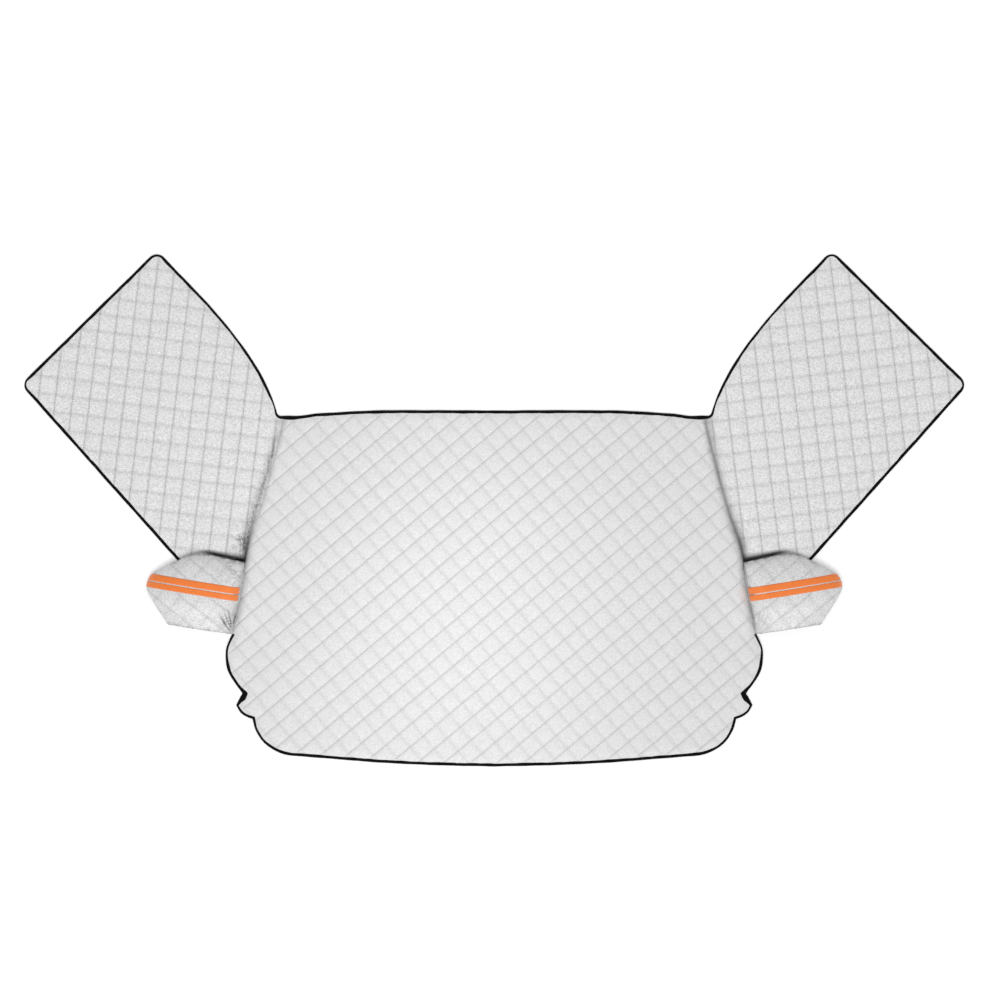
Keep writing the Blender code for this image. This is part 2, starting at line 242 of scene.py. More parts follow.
def cut_quilt(bm, face, angle, shift, stitched_cuts, creased_cuts):
    """Cut a flat face along the quilting, finest beside the lines."""
    faces = [face]
    for axis, first, cuts in zip(stitch_axes(angle), shift, (stitched_cuts, creased_cuts)):
        reaches = [vert.co.xy @ Vector(axis) for item in faces for vert in item.verts]
        low = math.floor((min(reaches) - first) / QUILT_PITCH)
        high = math.ceil((max(reaches) - first) / QUILT_PITCH)
        places = [first + number * QUILT_PITCH + cut
                  for number in range(low, high + 1) for cut in cuts]
        places = [place for place in places if min(reaches) < place < max(reaches)]
        faces = cut_rows(bm, faces, axis, places)
    return faces


def corners_of(verts):
    """Places of a mesh's corners while it is being shaped."""
    return np.array([vert.co[:] for vert in verts])


def set_heights(verts, heights):
    """Set each corner at its own height."""
    for vert, height in zip(verts, heights):
        vert.co.z = height


def quilted_cloth(outline, angle, shift, thickness):
    """A slab of cloth with both faces cut along the quilting."""
    bm = bmesh.new()
    back = bm.faces.new([bm.verts.new((*point, 0)) for point in outline])
    grown = bmesh.ops.extrude_face_region(bm, geom=[back], use_keep_orig=True)["geom"]
    front = next(item for item in grown if isinstance(item, bmesh.types.BMFace))
    bmesh.ops.translate(bm, verts=front.verts, vec=(0, 0, thickness))
    cut_quilt(bm, front, angle, shift, STITCHED_CUTS, CREASED_CUTS)
    cut_quilt(bm, back, angle, shift, LINING_CUTS, LINING_CUTS)
    return bm


def faces_of(bm, thickness):
    """Corners of a slab's front and of its back, each with whether it is the front."""
    return [([vert for vert in bm.verts if (vert.co.z > thickness / 2) == is_front], is_front)
            for is_front in (True, False)]


def refine(bm, far_from, reach, longest):
    """Cut edges longer than a length, within reach of a place or a path, into three."""
    middles = np.array([((edge.verts[0].co + edge.verts[1].co) / 2).xy[:] for edge in bm.edges])
    near = far_from(middles) < reach
    longs = [edge for edge, close in zip(bm.edges, near) if close and edge.calc_length() > longest]
    bmesh.ops.subdivide_edges(bm, edges=longs, cuts=2, use_grid_fill=True)


def finish_piece(name, bm, material, replaced=(), mirrored=False, closed=True):
    """Turn a mesh into a named piece that rides on the shade."""
    if mirrored:
        bmesh.ops.scale(bm, vec=(-1, 1, 1), verts=bm.verts)
    if closed:
        bmesh.ops.recalc_face_normals(bm, faces=bm.faces)
    elif mirrored:
        bmesh.ops.reverse_faces(bm, faces=bm.faces)
    mesh = bpy.data.meshes.new(name)
    bm.to_mesh(mesh)
    bm.free()
    mesh.polygons.foreach_set("use_smooth", [True] * len(mesh.polygons))
    mesh.set_sharp_from_angle(angle=SHARP_ANGLE)
    mesh.materials.append(material)
    piece = bpy.data.objects.new(name, mesh)
    bpy.context.scene.collection.objects.link(piece)
    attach(piece, "root")
    if replaced:
        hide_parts(*replaced)
    return piece


def set_inputs(tree, node, inputs):
    """Link each socket, or set each plain value, at the node's input of that name or number."""
    for name, value in inputs.items():
        if isinstance(value, bpy.types.NodeSocket):
            tree.links.new(value, node.inputs[name])
        else:
            node.inputs[name].default_value = value


def add_node(tree, kind, settings=(), inputs=()):
    node = tree.nodes.new(kind)
    for name, value in dict(settings).items():
        setattr(node, name, value)
    set_inputs(tree, node, dict(inputs))
    return node


def add_math(tree, operation, *values):
    """Result of an operation on sockets and plain numbers."""
    node = add_node(tree, "ShaderNodeMath", {"operation": operation}, enumerate(values))
    return node.outputs["Value"]


def add_blend(tree, share, first, second):
    """Blend of two colours."""
    node = add_node(tree, "ShaderNodeMix", {"data_type": "RGBA"}, {
        "Factor": share, "A": first, "B": second})
    return node.outputs["Result"]


def add_bump(tree, strength, distance, height):
    node = add_node(tree, "ShaderNodeBump", inputs={
        "Strength": strength, "Distance": distance, "Height": height})
    return node.outputs["Normal"]


FIBRE_SCALE = 900.0


def make_speckle():
    """Grain of a pressed cloth: fine fibres over softer blotches."""
    group = bpy.data.node_groups.new("cloth_speckle", "ShaderNodeTree")
    group.interface.new_socket("Vector", in_out="INPUT", socket_type="NodeSocketVector")
    fibre = group.interface.new_socket("Fibre Scale", in_out="INPUT", socket_type="NodeSocketFloat")
    fibre.default_value = FIBRE_SCALE
    group.interface.new_socket("Value", in_out="OUTPUT", socket_type="NodeSocketFloat")
    source = group.nodes.new("NodeGroupInput")
    fine = add_node(group, "ShaderNodeTexNoise", inputs={
        "Vector": source.outputs["Vector"], "Scale": source.outputs["Fibre Scale"],
        "Detail": 3.0, "Roughness": 0.7})
    blotch = add_node(group, "ShaderNodeTexNoise", inputs={
        "Vector": source.outputs["Vector"], "Scale": 260.0, "Detail": 2.0, "Roughness": 0.6})
    both = add_node(group, "ShaderNodeMix", inputs={
        "Factor": 0.55, "A": fine.outputs["Fac"], "B": blotch.outputs["Fac"]})
    wide = add_node(group, "ShaderNodeMapRange", inputs={
        "Value": both.outputs["Result"], "From Min": 0.36, "From Max": 0.64})
    sink = group.nodes.new("NodeGroupOutput")
    group.links.new(wide.outputs["Result"], sink.inputs["Value"])
    return group


def make_material(name, roughness, metallic=0.0):
    material = bpy.data.materials.new(name)
    material.use_nodes = True
    shader = material.node_tree.nodes["Principled BSDF"]
    shader.inputs["Roughness"].default_value = roughness
    shader.inputs["Metallic"].default_value = metallic
    return material, material.node_tree, shader


speckle = make_speckle()
SILVER_GREYS = (0.66, 0.832)  # darkest and lightest fibres
SILVER_BLUE = 0.005
# The near-black colour that the painted shade blends the cloth towards
SHADE_COLOUR = (0.002, 0.002, 0.002, 1)
GRAIN_OVER_WEAVE = 1.5


def add_speckle(tree, fibre_scale=FIBRE_SCALE):
    """Place of each point on the piece, and the cloth grain there."""
    place = tree.nodes.new("ShaderNodeTexCoord").outputs["Object"]
    grain = add_node(tree, "ShaderNodeGroup", {"node_tree": speckle}, {
        "Vector": place, "Fibre Scale": fibre_scale})
    return place, grain.outputs["Value"]


def make_silver(name, dark, light):
    """Silver film pressed on cloth: grey fibres, a fine weave, and painted shade where the mesh
    says.
    """
    material, tree, shader = make_material(name, 0.55, 0.10)
    place, grain = add_speckle(tree)
    greys = [(grey, grey, grey + SILVER_BLUE, 1) for grey in (dark, light)]
    shading_mask = add_node(tree, "ShaderNodeAttribute", {"attribute_name": "painted_shade"})
    rows = [add_node(tree, "ShaderNodeTexWave", {"bands_direction": axis}, {
        "Vector": place, "Scale": 240.0, "Distortion": 1.2, "Detail": 1.0}) for axis in "XY"]
    weave = add_math(tree, "MAXIMUM", rows[0].outputs["Fac"], rows[1].outputs["Fac"])
    surface = add_math(tree, "MULTIPLY_ADD", grain, GRAIN_OVER_WEAVE, weave)
    rough = add_node(tree, "ShaderNodeMapRange", inputs={
        "Value": grain, "To Min": 0.62, "To Max": 0.48})
    set_inputs(tree, shader, {
        "Base Color": add_blend(
            tree, shading_mask.outputs["Fac"], add_blend(tree, grain, *greys), SHADE_COLOUR),
        "Roughness": rough.outputs["Result"], "Specular IOR Level": 0.20,
        "Normal": add_bump(tree, 0.35, 0.00012, surface)})
    return material


silver = make_silver("silver_film_cloth", *SILVER_GREYS)


def store_shading(piece, amounts):
    """Keep how much painted shade each place has, in the order of the mesh's points."""
    layer = piece.data.attributes.new("painted_shade", "FLOAT", "POINT")
    layer.data.foreach_set("value", np.asarray(amounts, dtype=np.float32))


def points_of(piece):
    """Places of the points of a finished piece."""
    flat = np.zeros(len(piece.data.vertices) * 3)
    piece.data.vertices.foreach_get("co", flat)
    return flat.reshape(-1, 3)


# Painted shade in the quilting's lines: how dark it is on the sewn and on the creased lines, and
# how wide
MAIN_CREASES = (0.07, 0.085)  # how dark the sewn and the creased lines are
CREASE_WIDTHS = (0.0027, 0.0048)


def crease_shading(points, angle, shift, depths):
    """Painted shade in the quilting's lines."""
    lines = from_lines(points, angle, shift)
    return sum(depth * bell(far, width) for far, depth, width in zip(lines, depths, CREASE_WIDTHS))


# Share of the seam's length, then place, darkness and width of the painted shade in the fold there,
# and of the softer painted shade round it; a place is a distance from the seam, positive on the
# wing
SEAM_FOLDS = {
    "right": (
        (0.00, -0.0020, 0.42, 0.0048, 0.006, 0.26, 0.012),
        (0.10, -0.0010, 0.46, 0.0048, 0.006, 0.27, 0.012),
        (0.20, 0.0000, 0.47, 0.0050, 0.002, 0.25, 0.013),
        (0.40, -0.0005, 0.47, 0.0052, 0.001, 0.25, 0.013),
        (0.50, -0.0008, 0.48, 0.0064, 0.001, 0.34, 0.014),
        (0.56, 0.0000, 0.62, 0.0060, 0.002, 0.45, 0.015),
        (0.61, 0.0008, 0.80, 0.0052, 0.004, 0.48, 0.013),
        (0.655, 0.0015, 0.94, 0.0042, 0.002, 0.30, 0.011),
        (0.69, 0.0005, 0.30, 0.0034, 0.000, 0.05, 0.009),
        (0.75, 0.0008, 0.28, 0.0030, 0.000, 0.00, 0.009),
        (0.85, 0.0008, 0.24, 0.0028, 0.000, 0.00, 0.008),
        (1.00, 0.0012, 0.26, 0.0030, 0.000, 0.00, 0.008)),
    "left": (
        (0.00, -0.0030, 0.25, 0.0050, 0.004, 0.15, 0.012),
        (0.10, -0.0010, 0.22, 0.0045, 0.008, 0.14, 0.012),
        (0.20, 0.0000, 0.20, 0.0040, 0.012, 0.18, 0.010),
        (0.30, 0.0000, 0.22, 0.0040, 0.012, 0.20, 0.011),
        (0.40, 0.0000, 0.18, 0.0040, 0.015, 0.28, 0.012),
        (0.50, 0.0060, 0.46, 0.0050, 0.012, 0.26, 0.013),
        (0.56, 0.0030, 0.52, 0.0055, 0.009, 0.42, 0.013),
        (0.61, 0.0012, 0.84, 0.0045, 0.007, 0.50, 0.012),
        (0.655, 0.0018, 0.95, 0.0042, 0.002, 0.30, 0.011),
        (0.69, 0.0010, 0.12, 0.0034, 0.000, 0.02, 0.009),
        (0.75, 0.0085, 0.10, 0.0034, 0.000, 0.00, 0.008),
        (0.85, 0.0085, 0.12, 0.0034, 0.000, 0.00, 0.008),
        (1.00, 0.0070, 0.24, 0.0036, 0.000, 0.00, 0.008)),
}


def seam_shading(points, outward):
    """Painted shade in the fold along the seam; outward is 1 for cloth outside the seam, and -1
    inside.
    """
    far, share = nearest_on(on_right(points), side_seam())
    unshaded = np.ones(len(points))
    for side_name, half in (("left", points[:, 0] < 0), ("right", points[:, 0] >= 0)):
        stations = np.array(SEAM_FOLDS[side_name]).T
        place, depth, width, soft_place, soft_depth, soft_width = (
            np.interp(share, stations[0], values) for values in stations[1:])
        unshaded *= 1 - half * depth * bell(outward * far - place, width)
        unshaded *= 1 - half * soft_depth * bell(outward * far - soft_place, soft_width)
    return 1 - unshaded


def stack_shading(*layers):
    """Lay one painted shade over another."""
    unshaded = np.ones(len(layers[0]))
    for layer in layers:
        unshaded *= 1 - np.clip(layer, 0, 0.99)
    return 1 - unshaded


def shape_cloth(verts, is_front, angle, shift, to_seam, to_edge, roll):
    """Puff the quilt, flatten it towards its bound edges and roll it down to its seam."""
    points = corners_of(verts)[:, :2]
    inside = ease(to_edge, *EDGE_PRESSED)
    rolled = ease(to_seam, *roll)
    pattern = puff(points, angle, shift)
    if is_front:
        return RIM_TOP + PUFF_HEIGHT * pattern * inside * rolled - SEAM_SINK * (1 - rolled)
    return RIM_BOTTOM * (1 - inside) * rolled + LINING_PUFF * (1 - pattern) * inside


main_half = top_edge() + side_seam()[1:] + lower_edge()[1:]
main_outline = main_half + flipped(main_half)[1:-1]
main_bm = quilted_cloth(main_outline, MAIN_STITCH_ANGLE, MAIN_STITCH_SHIFT, CLOTH_THICKNESS)
for verts, is_front in faces_of(main_bm, CLOTH_THICKNESS):
    points = corners_of(verts)[:, :2]
    side = on_right(points)
    to_seam, _ = nearest_on(side, side_seam())
    to_edge = np.minimum(nearest_on(side, top_edge())[0], nearest_on(side, lower_edge())[0])
    heights = shape_cloth(
        verts, is_front, MAIN_STITCH_ANGLE, MAIN_STITCH_SHIFT, to_seam, to_edge, MAIN_ROLL)
    set_heights(verts, heights + settled(points, on_main=True))
main_panel = finish_piece("main_panel_quilt", main_bm, silver, ["main_panel"])
main_points = points_of(main_panel)[:, :2]
# Painted shade in the quilting's lines and in the fold along the seams
store_shading(main_panel, stack_shading(
    crease_shading(main_points, MAIN_STITCH_ANGLE, MAIN_STITCH_SHIFT, MAIN_CREASES),
    seam_shading(main_points, -1)))

THREAD_GREYS = ((0.20, 0.20, 0.21, 1), (0.36, 0.36, 0.37, 1))
STITCH_LENGTH = 0.0043
STITCH_STEP = 0.0063
THREAD_WIDTH = 0.0009
THREAD_HEIGHT = 0.0006
THREAD_SUNK = 0.25  # share of the thread's height by which its middle lies over the cloth
STITCH_MARGIN = 0.0095  # no stitch starts nearer to the edge
ABOVE_ALL = 0.2


def make_thread():
    material, tree, shader = make_material("grey_thread", 0.7)
    place = tree.nodes.new("ShaderNodeTexCoord").outputs["Object"]
    twist = add_node(tree, "ShaderNodeTexWave", {"bands_direction": "DIAGONAL"}, {
        "Vector": place, "Scale": 900.0, "Distortion": 0.5}).outputs["Fac"]
    set_inputs(tree, shader, {
        "Base Color": add_blend(tree, twist, *THREAD_GREYS),
        "Normal": add_bump(tree, 0.4, 0.0001, twist)})
    return material


thread = make_thread()


def within(points, outline):
    """Whether each point lies inside a closed outline."""
    x, y = points.T
    inside = np.zeros(len(points), dtype=bool)
    for start, end in zip(outline, outline[1:] + outline[:1]):
        if start.y != end.y:
            crossed = (start.y > y) != (end.y > y)
            slant = (end.x - start.x) / (end.y - start.y)
            inside ^= crossed & (x < start.x + (y - start.y) * slant)
    return inside


def sew(name, cloth, outline, angle, shift, mirrored=False):
    """Stitches along the sewn family of lines, laid on the finished cloth."""
    across, along = (Vector(axis) for axis in stitch_axes(angle))
    reaches = [across.dot(point) for point in outline]
    runs = [along.dot(point) for point in outline]
    first_row = math.ceil((min(reaches) - shift[0]) / QUILT_PITCH)
    last_row = math.floor((max(reaches) - shift[0]) / QUILT_PITCH)
    count = math.floor((max(runs) - min(runs)) / STITCH_STEP)
    bm = bmesh.new()
    start = across * (shift[0] + first_row * QUILT_PITCH) + along * min(runs)
    size = Matrix.Diagonal((STITCH_LENGTH / 2, THREAD_WIDTH / 2, THREAD_HEIGHT / 2, 1))
    place = Matrix.Translation((*start, 0)) @ Matrix.Rotation(angle, 4, "Z") @ size
    bmesh.ops.create_icosphere(bm, subdivisions=1, radius=1.0, matrix=place)
    repeats = ((along * STITCH_STEP, count), (across * QUILT_PITCH, last_row - first_row))
    for step, steps in repeats:
        bmesh.ops.spin(
            bm, geom=[*bm.verts, *bm.edges, *bm.faces], cent=(0, 0, 0), axis=(0, 0, 1),
            angle=0.0, dvec=(*step, 0), steps=steps, use_duplicate=True)
    points = corners_of(bm.verts)[:, :2]
    centres = 0
    for axis, first, pitch in ((across, shift[0], QUILT_PITCH), (along, min(runs), STITCH_STEP)):
        places = np.round((points @ np.array(axis) - first) / pitch) * pitch + first
        centres = centres + places[:, None] * np.array(axis)
    to_edge, _ = nearest_on(centres, outline + outline[:1])
    kept = within(centres, outline) & (to_edge > STITCH_MARGIN)
    stray = [vert for vert, keep in zip(bm.verts, kept) if not keep]
    bmesh.ops.delete(bm, geom=stray, context="VERTS")
    if mirrored:
        bmesh.ops.scale(bm, vec=(-1, 1, 1), verts=bm.verts)
    surface = BVHTree.FromObject(cloth, bpy.context.evaluated_depsgraph_get())
    for vert in bm.verts:
        hit = surface.ray_cast((vert.co.x, vert.co.y, ABOVE_ALL), (0, 0, -1))[0]
        vert.co.z += hit.z + THREAD_SUNK * THREAD_HEIGHT
    return finish_piece(name, bm, thread)


main_stitches = sew(
    "main_panel_stitches", main_panel, main_outline, MAIN_STITCH_ANGLE, MAIN_STITCH_SHIFT)


# Wings: the same quilted cloth, cut with a rounded top and outer corner and sewn to the panel's
# slanted sides. They are shut in the front doors. The cloth sinks towards the seam, and the left
# one has two tucks beside it.
GAP = 0.0003
WING_INNER_HALF_WIDTH = 0.5565
WING_STITCH_ANGLE = math.radians(97.0)
WING_STITCH_SHIFT = (0.0130, 0.0285)
WING_CREASES = (0.16, 0.14)
WING_ROLL = (-0.008, 0.020)
WING_TOP_CORNER = (0.8666, 0.6691)
WING_OUTER_CORNER = (1.2160, 0.3248)
WING_FOOT_SHARE = 0.932
WING_FOOT_WIDTH = 0.0145
WING_CORNER_RADIUS = 0.025
WING_CURVE_START = math.radians(76.4)
WING_CURVE_END = math.radians(46.8)
WING_CURVE_PULL = (0.168, 0.115)
ARC_STEPS = 8
# The wings and mirror covers are the same cloth as the panel; this copy's lighter greys and
# stronger speckle are painted light, set for how light falls on them
PAINTED_LIGHT_GREYS = (0.585, 0.965)
painted_light_silver = make_silver("wing_cloth_painted_light", *PAINTED_LIGHT_GREYS)


def rounded_corner(corner, before, after, radius):
    """Arc that rounds a corner between the directions towards its two neighbours."""
    half_angle = before.angle(after) / 2
    setback = radius / math.tan(half_angle)
    centre = corner + (before + after).normalized() * radius / math.sin(half_angle)
    start = corner + before * setback - centre
    sweep = (corner + after * setback - centre).angle_signed(start)
    turns = (Matrix.Rotation(sweep * i / ARC_STEPS, 2) for i in range(ARC_STEPS + 1))
    return [centre + turn @ start for turn in turns]


def wing_seam():
    """The stretch of the side seam that the wing is sewn to."""
    seam = side_seam()
    foot_y = seam[0].lerp(seam[-1], WING_FOOT_SHARE).y
    kept = [point for point in seam if point.y > foot_y]
    above, below = kept[-1], seam[len(kept)]
    return [*kept, above.lerp(below, (above.y - foot_y) / (above.y - below.y))]


def straight(start, end):
    """Evenly spaced points on a straight edge, without its two ends."""
    count = round((end - start).length / CURVE_STEP)
    return [start.lerp(end, i / count) for i in range(1, count)]


def wing_edge():
    """Free edge of the wing, from the seam's top over its three corners to its foot."""
    inner = Vector((WING_INNER_HALF_WIDTH, TOP_CORNER_Y))
    top, outer = Vector(WING_TOP_CORNER), Vector(WING_OUTER_CORNER)
    foot = wing_seam()[-1]
    blunt = foot + Vector((WING_FOOT_WIDTH, 0))
    to_inner = -Vector((math.cos(WING_CURVE_END), math.sin(WING_CURVE_END)))
    rise = Vector((math.cos(WING_CURVE_START), math.sin(WING_CURVE_START)))
    across = (outer - top).normalized()
    down = (blunt - outer).normalized()
    top_arc = rounded_corner(top, to_inner, across, WING_CORNER_RADIUS)
    outer_arc = rounded_corner(outer, -across, down, WING_CORNER_RADIUS)
    pull_start, pull_end = WING_CURVE_PULL
    curve = interpolate_bezier(
        inner, inner + rise * pull_start, top_arc[0] + to_inner * pull_end, top_arc[0],
        round((top - inner).length / CURVE_STEP))
    return [wing_seam()[0], *(Vector(point[:2]) for point in curve), *top_arc[1:],
            *straight(top_arc[-1], outer_arc[0]), *outer_arc, *straight(outer_arc[-1], blunt),
            blunt, foot]


# The mirror cover's outline, which shapes the wing under it: shares of its length and depth
COVER_TILT = math.radians(9.0)
COVER_LENGTH = 0.2370
COVER_DEPTH = 0.1945
COVER_MOUTH = 0.1694
COVER_WIDEST = 0.444
COVER_EDGE = (
    (-0.020, 0.974, CORNER),
    (0.275, 0.997, SMOOTH),
    (0.475, 1.000, SMOOTH),
    (0.700, 0.878, SMOOTH),
    (0.960, 0.615, SMOOTH),
    (1.000, COVER_WIDEST, SMOOTH),
    (0.950, 0.325, SMOOTH),
)


def cover_place(measured):
    """Places on the shade, from distances along the cover's mouth and square to it."""
    turn = np.array(((math.cos(COVER_TILT), math.sin(COVER_TILT)),
                     (-math.sin(COVER_TILT), math.cos(COVER_TILT))))
    return np.asarray(measured) @ turn + SEAM_FOOT


def cover_edge():
    """The cover's sewn edge in its own measure, from the seam's foot round to the mouth's end."""
    knots = [(along * COVER_LENGTH, away * COVER_DEPTH, kind) for along, away, kind in COVER_EDGE]
    path = smooth_path([(0.0, 0.0, CORNER), *knots, (COVER_MOUTH, 0.0, CORNER)])
    return np.array([tuple(point) for point in path])


# Share of the way along the cover's top edge, then how deep the fold of the wing is and its width
# The depth and width also set how dark and how wide the painted shadow on the wing along that edge
# is
COVER_FOLD = (
    (0.00, 0.985, 0.0145), (0.05, 0.985, 0.0120), (0.12, 0.985, 0.0092), (0.22, 0.985, 0.0078),
    (0.29, 0.95, 0.0070), (0.35, 0.80, 0.0060), (0.41, 0.56, 0.0048), (0.47, 0.36, 0.0042),
    (0.55, 0.20, 0.0035), (1.00, 0.10, 0.0030))
FOLD_FLOOR = 0.0014
FOLD_SHARE = 0.8  # how much of the way down to that floor the wing dips
FOLD_SPREAD = 1.3
# A painted shadow, darker still, at the bottom of the fold
FOLD_CORE_SHADOW = (0.95, 0.0042)  # how dark the bottom of the fold is, and its width


def cover_fold(points):
    """How deep and how wide the wing dips along the top edge of its cover, and how far that is."""
    edge = [row for row in cover_edge() if row[1] > COVER_WIDEST * COVER_DEPTH]
    upper = edge[[row[0] for row in edge].index(min(row[0] for row in edge)):]
    far, share = nearest_on(points, cover_place(upper))
    shares, depths, widths = np.array(COVER_FOLD).T
    return far, np.interp(share, shares, depths), np.interp(share, shares, widths)


# Share of the way down the left seam, and how far from it the wing is tucked
LEFT_TUCK = ((0.00, 0.0060), (0.12, 0.0095), (0.25, 0.0088), (0.35, 0.0095), (0.48, 0.0110))
TUCK_DEPTH = 0.0013
TUCK_WIDTH = 0.0030
TUCK_WANDER = 0.0008
TUCK_START = (0.04, 0.14)  # shares of the way down the seam
TUCK_END = (0.46, 0.56)
TUCK_RIDGE = (0.4, 0.0050, 0.0024)  # share of the tuck's depth, place beside it, width
# Painted shade in the tuck: how dark, and how wide
TUCK_SHADE = (0.30, 0.0036)
CRUMPLE_CORNER = (-0.648, -0.078)
CRUMPLE_REACH = 0.027
CRUMPLE_HEIGHT = 0.0016
# How dark the painted shade in the crumples' hollows is
CRUMPLE_SHADE = 0.85
CRUMPLE_CLEAR = (0.002, 0.010)  # distances from the cover over which the shade sets in
WRINKLE_SHADE = 0.7  # share of that of the crumples
WRINKLE_BAND = (0.011, 0.009)  # distance from the seam, and width
WRINKLE_START = (0.05, 0.20)
SEAM_REFINED = (0.030, 0.0038)  # reach from the seam, and the longest edge there
# Pitch of each wave along x and y, its bend, and the bend's own pitch along x and y
CRUMPLE_WAVES = ((640, 380, 2.1, 270, -340), (190, -480, 1.7, 390, 150))
WRINKLE_WAVES = ((620, 190, 1.9, -170, 230), (-410, 260, 1.6, 310, 150))


def tuck(to_seam, down):
    """How far each place is from the tuck in the left wing, and how strong the tuck is there."""
    shares, places = np.array(LEFT_TUCK).T
    wander = TUCK_WANDER * np.sin(down * 61.0)
    strength = ease(down, *TUCK_START) * (1 - ease(down, *TUCK_END))
    return to_seam - np.interp(down, shares, places) - wander, strength


def bent_waves(x, y, waves):
    """Product of waves that bend, which reads as crumpled cloth."""
    crumpled = 1.0
    for along_x, along_y, bend, bend_x, bend_y in waves:
        bent = bend * np.sin(bend_x * x + bend_y * y)
        crumpled = crumpled * np.sin(along_x * x + along_y * y + bent)
    return crumpled


def crumple(placed, corner):
    """Small crumples in the left side's cloth round a corner of the cover, from -1 to 1."""
    x, y = (placed - corner).T
    return bent_waves(x, y, CRUMPLE_WAVES) * bell(np.hypot(x, y / 1.5), CRUMPLE_REACH)


def wrinkle(placed, to_seam, down):
    """Fine wrinkles down the left wing beside its seam, from -1 to 1."""
    x, y = placed.T
    place, width = WRINKLE_BAND
    strength = bell(to_seam - place, width) * ease(down, *WRINKLE_START) * (x < 0)
    return bent_waves(x, y, WRINKLE_WAVES) * strength


def crumple_shading(placed, to_cover, to_seam, down):
    """Shade in the hollows of the crumples and wrinkles."""
    crumpled = np.maximum(-crumple(placed, CRUMPLE_CORNER), 0)
    wrinkled = np.maximum(-wrinkle(placed, to_seam, down), 0)
    hollows = crumpled + WRINKLE_SHADE * wrinkled
    return CRUMPLE_SHADE * hollows * ease(to_cover, *CRUMPLE_CLEAR)


def placed_on(side_name, points):
    """Places drawn on the right half, on the side of the shade that is named."""
    return points * ((-1, 1) if side_name == "left" else (1, 1))


seam_side = [point + Vector((GAP, 0)) for point in wing_seam()]
wing_outline = wing_edge()[1:-1] + list(reversed(seam_side))
for side_name, tucked in (("left", 1.0), ("right", 0.0)):
    wing_bm = quilted_cloth(wing_outline, WING_STITCH_ANGLE, WING_STITCH_SHIFT, CLOTH_THICKNESS)
    if tucked:
        refine(wing_bm, lambda places: nearest_on(places, wing_seam())[0], *SEAM_REFINED)
    for verts, is_front in faces_of(wing_bm, CLOTH_THICKNESS):
        points = corners_of(verts)[:, :2]
        to_seam, down = nearest_on(points, wing_seam())
        to_edge, _ = nearest_on(points, wing_edge())
        heights = shape_cloth(verts, is_front, WING_STITCH_ANGLE, WING_STITCH_SHIFT, to_seam,
                              to_edge, WING_ROLL)
        placed = placed_on(side_name, points)
        if is_front:
            from_tuck, strength = tuck(to_seam, down)
            ridge, beside, ridge_width = TUCK_RIDGE
            tucks = ridge * bell(from_tuck + beside, ridge_width) - bell(from_tuck, TUCK_WIDTH)
            heights += tucked * TUCK_DEPTH * strength * tucks
            to_cover, depth, width = cover_fold(points)
            dip = FOLD_SHARE * depth * bell(to_cover, width * FOLD_SPREAD)
            heights += (FOLD_FLOOR - heights) * dip
            crumples = crumple(placed, CRUMPLE_CORNER) + wrinkle(placed, to_seam, down)
            heights += CRUMPLE_HEIGHT * crumples
        set_heights(verts, heights + settled(placed))
    wing = finish_piece(f"{side_name}_wing_quilt", wing_bm, painted_light_silver,
                        [f"{side_name}_wing"], mirrored=side_name == "left")
    placed = points_of(wing)[:, :2]
    points = on_right(placed)
    to_cover, depth, width = cover_fold(points)
    to_seam, down = nearest_on(points, wing_seam())
    from_tuck, strength = tuck(to_seam, down)
    # Painted shade in the quilting's lines and the seam's fold, a painted shadow along the cover's
    # top edge with its darker core, and painted shade in the tuck and the crumples
    store_shading(wing, stack_shading(
        crease_shading(points, WING_STITCH_ANGLE, WING_STITCH_SHIFT, WING_CREASES),
        seam_shading(placed, 1),
        depth * bell(to_cover, width), FOLD_CORE_SHADOW[0] * depth ** 4 * bell(to_cover, FOLD_CORE_SHADOW[1]),
        tucked * TUCK_SHADE[0] * strength * bell(from_tuck, TUCK_SHADE[1]),
        crumple_shading(placed, to_cover, to_seam, down)))
    stitches = sew(f"{side_name}_wing_stitches", wing, wing_outline, WING_STITCH_ANGLE,
                   WING_STITCH_SHIFT, mirrored=side_name == "left")

# Mirror covers: a flat quilted back on the wing's foot and a puffed quilted front, sewn together
# round the edge. The mouth along the lower side is turned in over elastic, so that its hem gathers.
COVER_RISE = 0.0600
COVER_FULLNESS = 2.6
MOUTH_RISE_SHARE = 0.72
MOUTH_DRAW = 0.0600
COVER_STITCH_ANGLE = math.radians(39.0)
COVER_STITCH_SHIFT = (0.0130, 0.0050)
COVER_BOTTOM = 0.0058
COVER_BACK_THICKNESS = 0.0030
COVER_RIM = COVER_BOTTOM + COVER_BACK_THICKNESS + GAP
COVER_CLOTH = 0.0026
LOWER_TAPE = (0.0860, 0.1005)
UPPER_TAPE = (0.1035, 0.1205)
RIM_RINGS = (0.00015, 0.0005, 0.0011, 0.0018, 0.0026, 0.0034)
COVER_SEWN = (0.93, 0.995)  # shares of the reach between which the padding runs out at the seam
COVER_PUFF = 0.7  # shares of the panels' puff
TAPED_PUFF = 0.35
TAPE_MARGIN = 0.004
MOUTH_STEP = 0.0020
HEM_WIDTH = 0.0065
HEM_BULGE = (0.0009, 0.0008)  # its height, and how much it goes up and down
HEM_PITCH = 0.0088
MOUTH_FOLD = (0.1660, 0.0160)  # a place on the fold at the mouth's outer end
MOUTH_FOLD_ACROSS = (0.62, -0.78)
MOUTH_FOLD_DEPTH = 0.0022
MOUTH_FOLD_WIDTH = 0.0030
MOUTH_FOLD_REACH = (0.130, 0.155)
FOOT_REFINED = (0.065, 0.0035)
GATHERS = {"left": 0.0026, "right": 0.0007}  # heights of the gathers round the seam's foot
GATHER_RING = (0.030, 0.025)  # distance from the seam's foot, and width
GATHER_FAN = (0.45, 0.95)
POUCH_CRUMPLE = 0.0012
